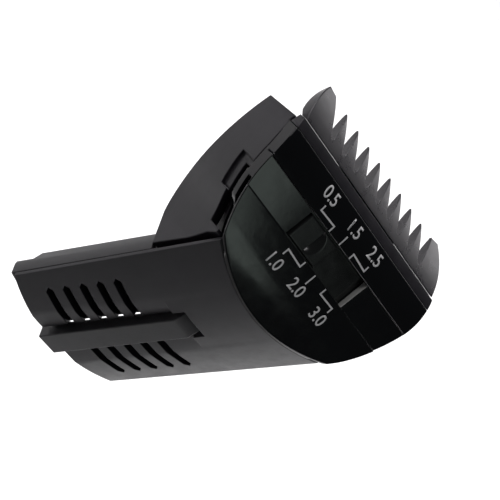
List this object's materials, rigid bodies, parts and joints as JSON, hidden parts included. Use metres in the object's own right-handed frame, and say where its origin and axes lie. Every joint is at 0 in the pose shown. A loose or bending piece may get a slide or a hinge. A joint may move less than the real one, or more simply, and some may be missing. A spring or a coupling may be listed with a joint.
{
  "type": "beard trimmer comb head",
  "caption": "Adjustable comb head for a beard trimmer: fan-shaped hood with a sloping length scale and slider, toothed comb on top and a slotted tail that slides on to the handle",
  "frame": {"origin": "where the head's tail enters the handle: mid-plane, half way up the two side rails, at the end of the tail", "axes": "+Z along the trimmer's handle towards the comb, +X across the head, -Y the front that carries the scale"},
  "size_m": [0.0428, 0.0262, 0.0535],
  "materials": {
    "gloss_cover": "high gloss black",
    "gloss_button": "semi-gloss black",
    "acetal": "satin",
    "steel": "bright",
    "comb_grey": "fine matte",
    "hood_grey": "fine matte",
    "rail_grey": "fine matte"
  },
  "bodies": {
    "hood": {"scale_cover": "gloss_cover", "hood_frame": "hood_grey", "side_wing_left": "hood_grey", "side_wing_right": "hood_grey", "tail_front_shell": "hood_grey", "rail_frame": "rail_grey", "wing_screws": "steel", "frame_screws": "steel", "carrier_guide_rod_left": "steel", "carrier_guide_rod_right": "steel", "latch_pivot_pin": "steel", "latch_leaf_spring": "steel", "leaf_screw": "steel", "detent_spring": "steel"},
    "comb_slide_unit": {"comb": "comb_grey", "comb_carrier": "acetal", "follower_pins": "steel", "comb_screws": "steel"},
    "slider": {"slider_button": "gloss_button", "slider_carriage": "acetal", "button_screws": "steel"},
    "latch": {"latch_tongue": "rail_grey"}
  },
  "joints": [
    {"name": "comb_slide", "type": "slide", "parent": "hood", "child": "comb_slide_unit", "axis": [0, 0.7071, 0.7071], "range_m": [0, 0.00354]},
    {"name": "slider_slide", "type": "slide", "parent": "hood", "child": "slider", "axis": [1, 0, 0], "range_m": [0, 0.00815]},
    {"name": "latch_hinge", "type": "hinge", "parent": "hood", "child": "latch", "pos_m": [0, -0.0019, 0.0024], "axis": [-1, 0, 0], "range_deg": [0, 2.4], "stiffness_Nm_per_rad": 0.5}
  ],
  "couplings": [
    {"joint": "slider_slide", "follows": "comb_slide", "ratio": 2.3052}
  ]
}
